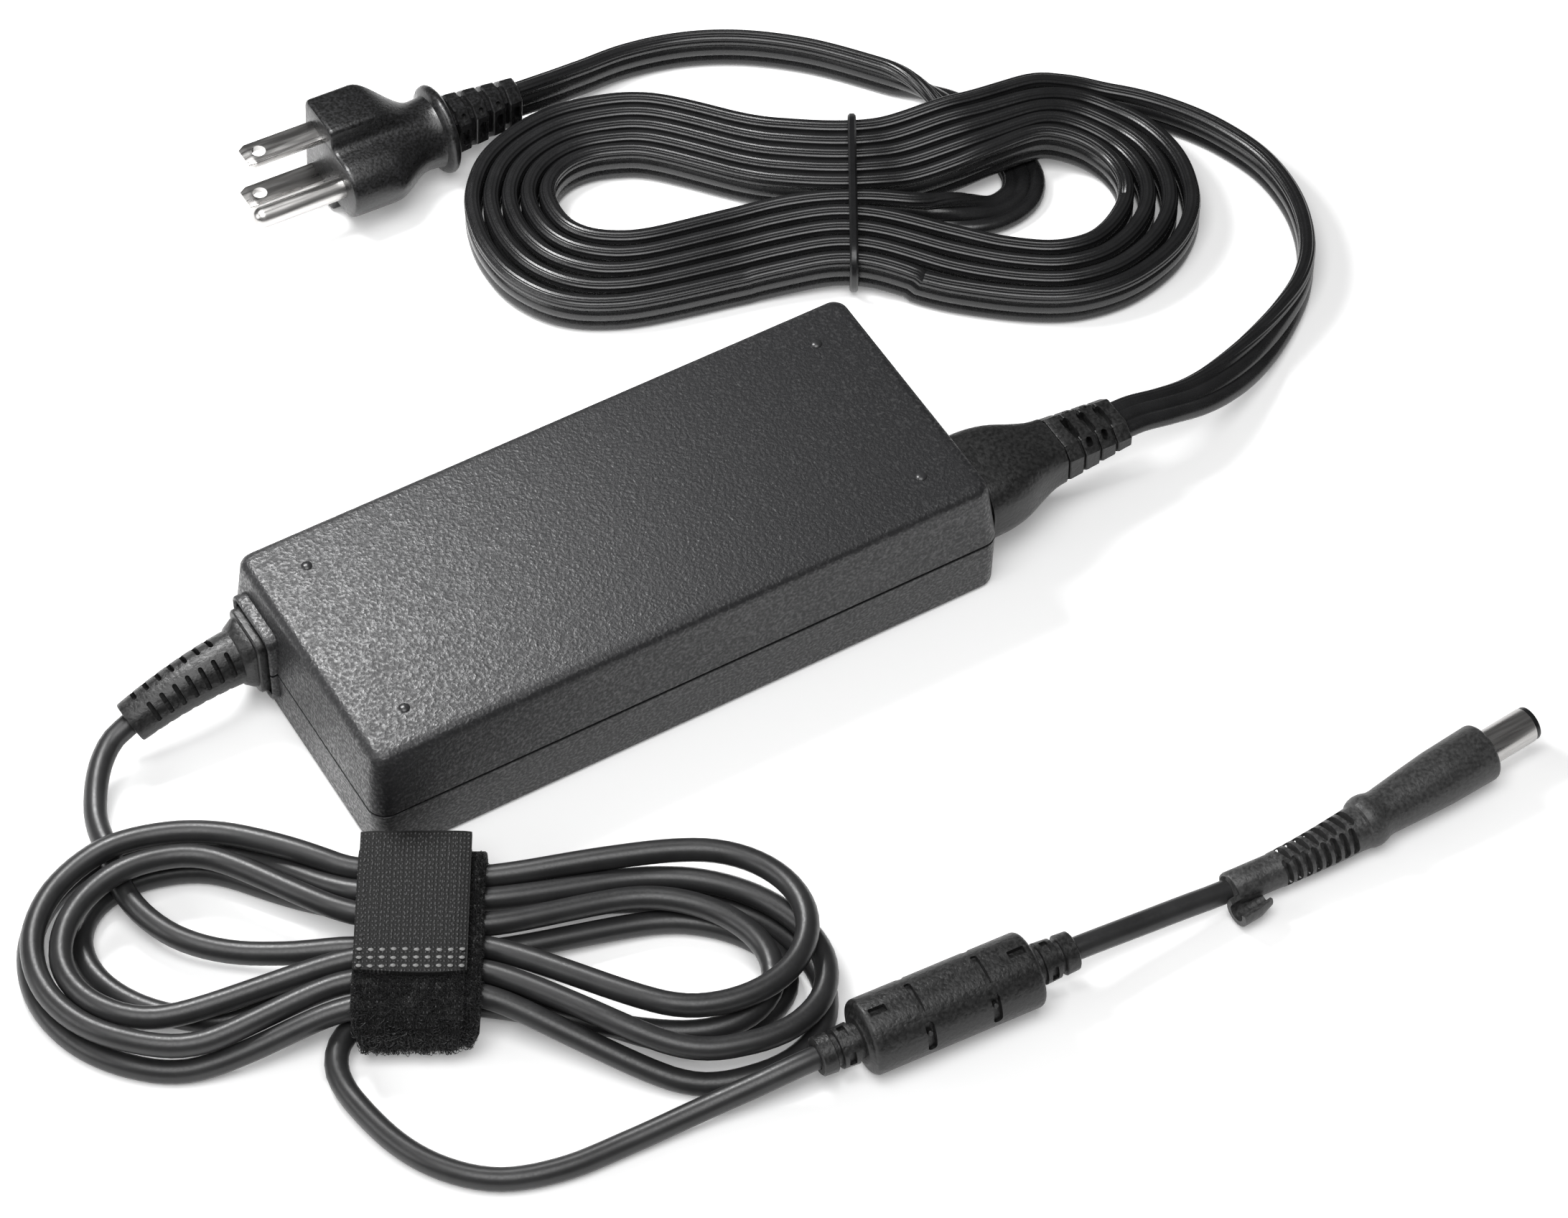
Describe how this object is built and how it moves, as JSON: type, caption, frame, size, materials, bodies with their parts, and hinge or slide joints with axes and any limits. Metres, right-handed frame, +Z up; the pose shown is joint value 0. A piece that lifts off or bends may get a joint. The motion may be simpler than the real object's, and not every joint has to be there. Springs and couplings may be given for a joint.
{
  "type": "laptop power adapter",
  "caption": "Rectangular laptop power supply with a captive DC lead, ferrite bead and barrel plug, and a detachable flat mains lead with a three-pin plug.",
  "frame": {"origin": "centre of the brick's underside, on the surface it stands on", "axes": "+X along the brick towards its mains inlet, +Y across it, +Z up"},
  "size_m": [0.333, 0.2761, 0.0305],
  "materials": {
    "case_plastic": "matt spark-eroded texture, dark grey",
    "inlet_plastic": "satin black",
    "moulded_pvc": "fine matt grain, black",
    "plug_pvc": "satin with a fine grain, black",
    "mains_cord_pvc": "satin, finely ribbed along one core",
    "dc_cord_pvc": "smooth satin, black",
    "tie_pvc": "smooth satin, black",
    "webbing": "woven nylon with loop pile, black",
    "nickel": "bright nickel plate",
    "aluminium": "mill finish",
    "circuit_board": "green solder mask",
    "insulating_film": "amber film",
    "ferrite": "dull grey",
    "winding_tape": "yellow tape",
    "copper_winding": "enamelled copper wire",
    "ceramic": "cream ceramic",
    "capacitor_case": "moulded box, yellow",
    "disc_capacitor": "dipped, blue",
    "epoxy": "moulded epoxy, black",
    "capacitor_sleeve": "shrink sleeve, dark"
  },
  "bodies": {
    "brick": {"top_cover": "case_plastic", "bottom_case": "case_plastic", "ac_inlet_housing": "inlet_plastic", "inlet_pin_line": "nickel", "inlet_pin_neutral": "nickel", "inlet_pin_earth": "nickel", "dc_strain_relief": "moulded_pvc", "main_circuit_board": "circuit_board", "insulating_sheet": "insulating_film", "heat_spreader": "aluminium", "primary_heatsink": "aluminium", "secondary_heatsink": "aluminium", "transformer_core": "ferrite", "transformer_winding": "winding_tape", "fuse": "ceramic", "x_capacitor": "capacitor_case", "common_mode_choke": "copper_winding", "y_capacitor": "disc_capacitor", "bridge_rectifier": "epoxy", "switching_transistor": "epoxy", "pfc_choke": "copper_winding", "bulk_capacitor": "capacitor_sleeve", "output_rectifier": "epoxy", "output_capacitor_1": "capacitor_sleeve", "output_capacitor_2": "capacitor_sleeve", "optocoupler": "epoxy", "controller_chip": "epoxy", "dc_plug_body": "moulded_pvc", "dc_plug_sleeve": "nickel", "dc_plug_tip_ring": "moulded_pvc", "dc_plug_inner_sleeve": "nickel", "dc_plug_centre_pin": "nickel", "ferrite_casing": "moulded_pvc", "ferrite_core": "ferrite", "dc_cord_hank": "dc_cord_pvc", "strap_wrap": "webbing", "dc_cord_from_brick": "dc_cord_pvc", "dc_cord_to_ferrite": "dc_cord_pvc", "dc_cord_to_plug": "dc_cord_pvc"},
    "mains_lead": {"mains_connector_body": "moulded_pvc", "connector_contact_line": "nickel", "connector_contact_neutral": "nickel", "connector_contact_earth": "nickel", "mains_cord_from_connector": "mains_cord_pvc", "mains_cord_hank": "mains_cord_pvc", "hank_tie": "tie_pvc", "mains_cord_to_plug": "mains_cord_pvc", "plug_body": "plug_pvc", "plug_blade_line": "nickel", "plug_blade_neutral": "nickel", "plug_earth_pin": "nickel"},
    "strap_flap": {"strap_tail": "webbing"}
  },
  "joints": [
    {"name": "unplug_mains_lead", "type": "slide", "parent": "brick", "child": "mains_lead", "axis": [1, 0, 0], "range_m": [0, 0.016]},
    {"name": "peel_strap_tail", "type": "hinge", "parent": "brick", "child": "strap_flap", "pos_m": [-0.0673, -0.0392, 0.0146], "axis": [-0.866, 0.5, 0], "range_deg": [0, 110]}
  ]
}
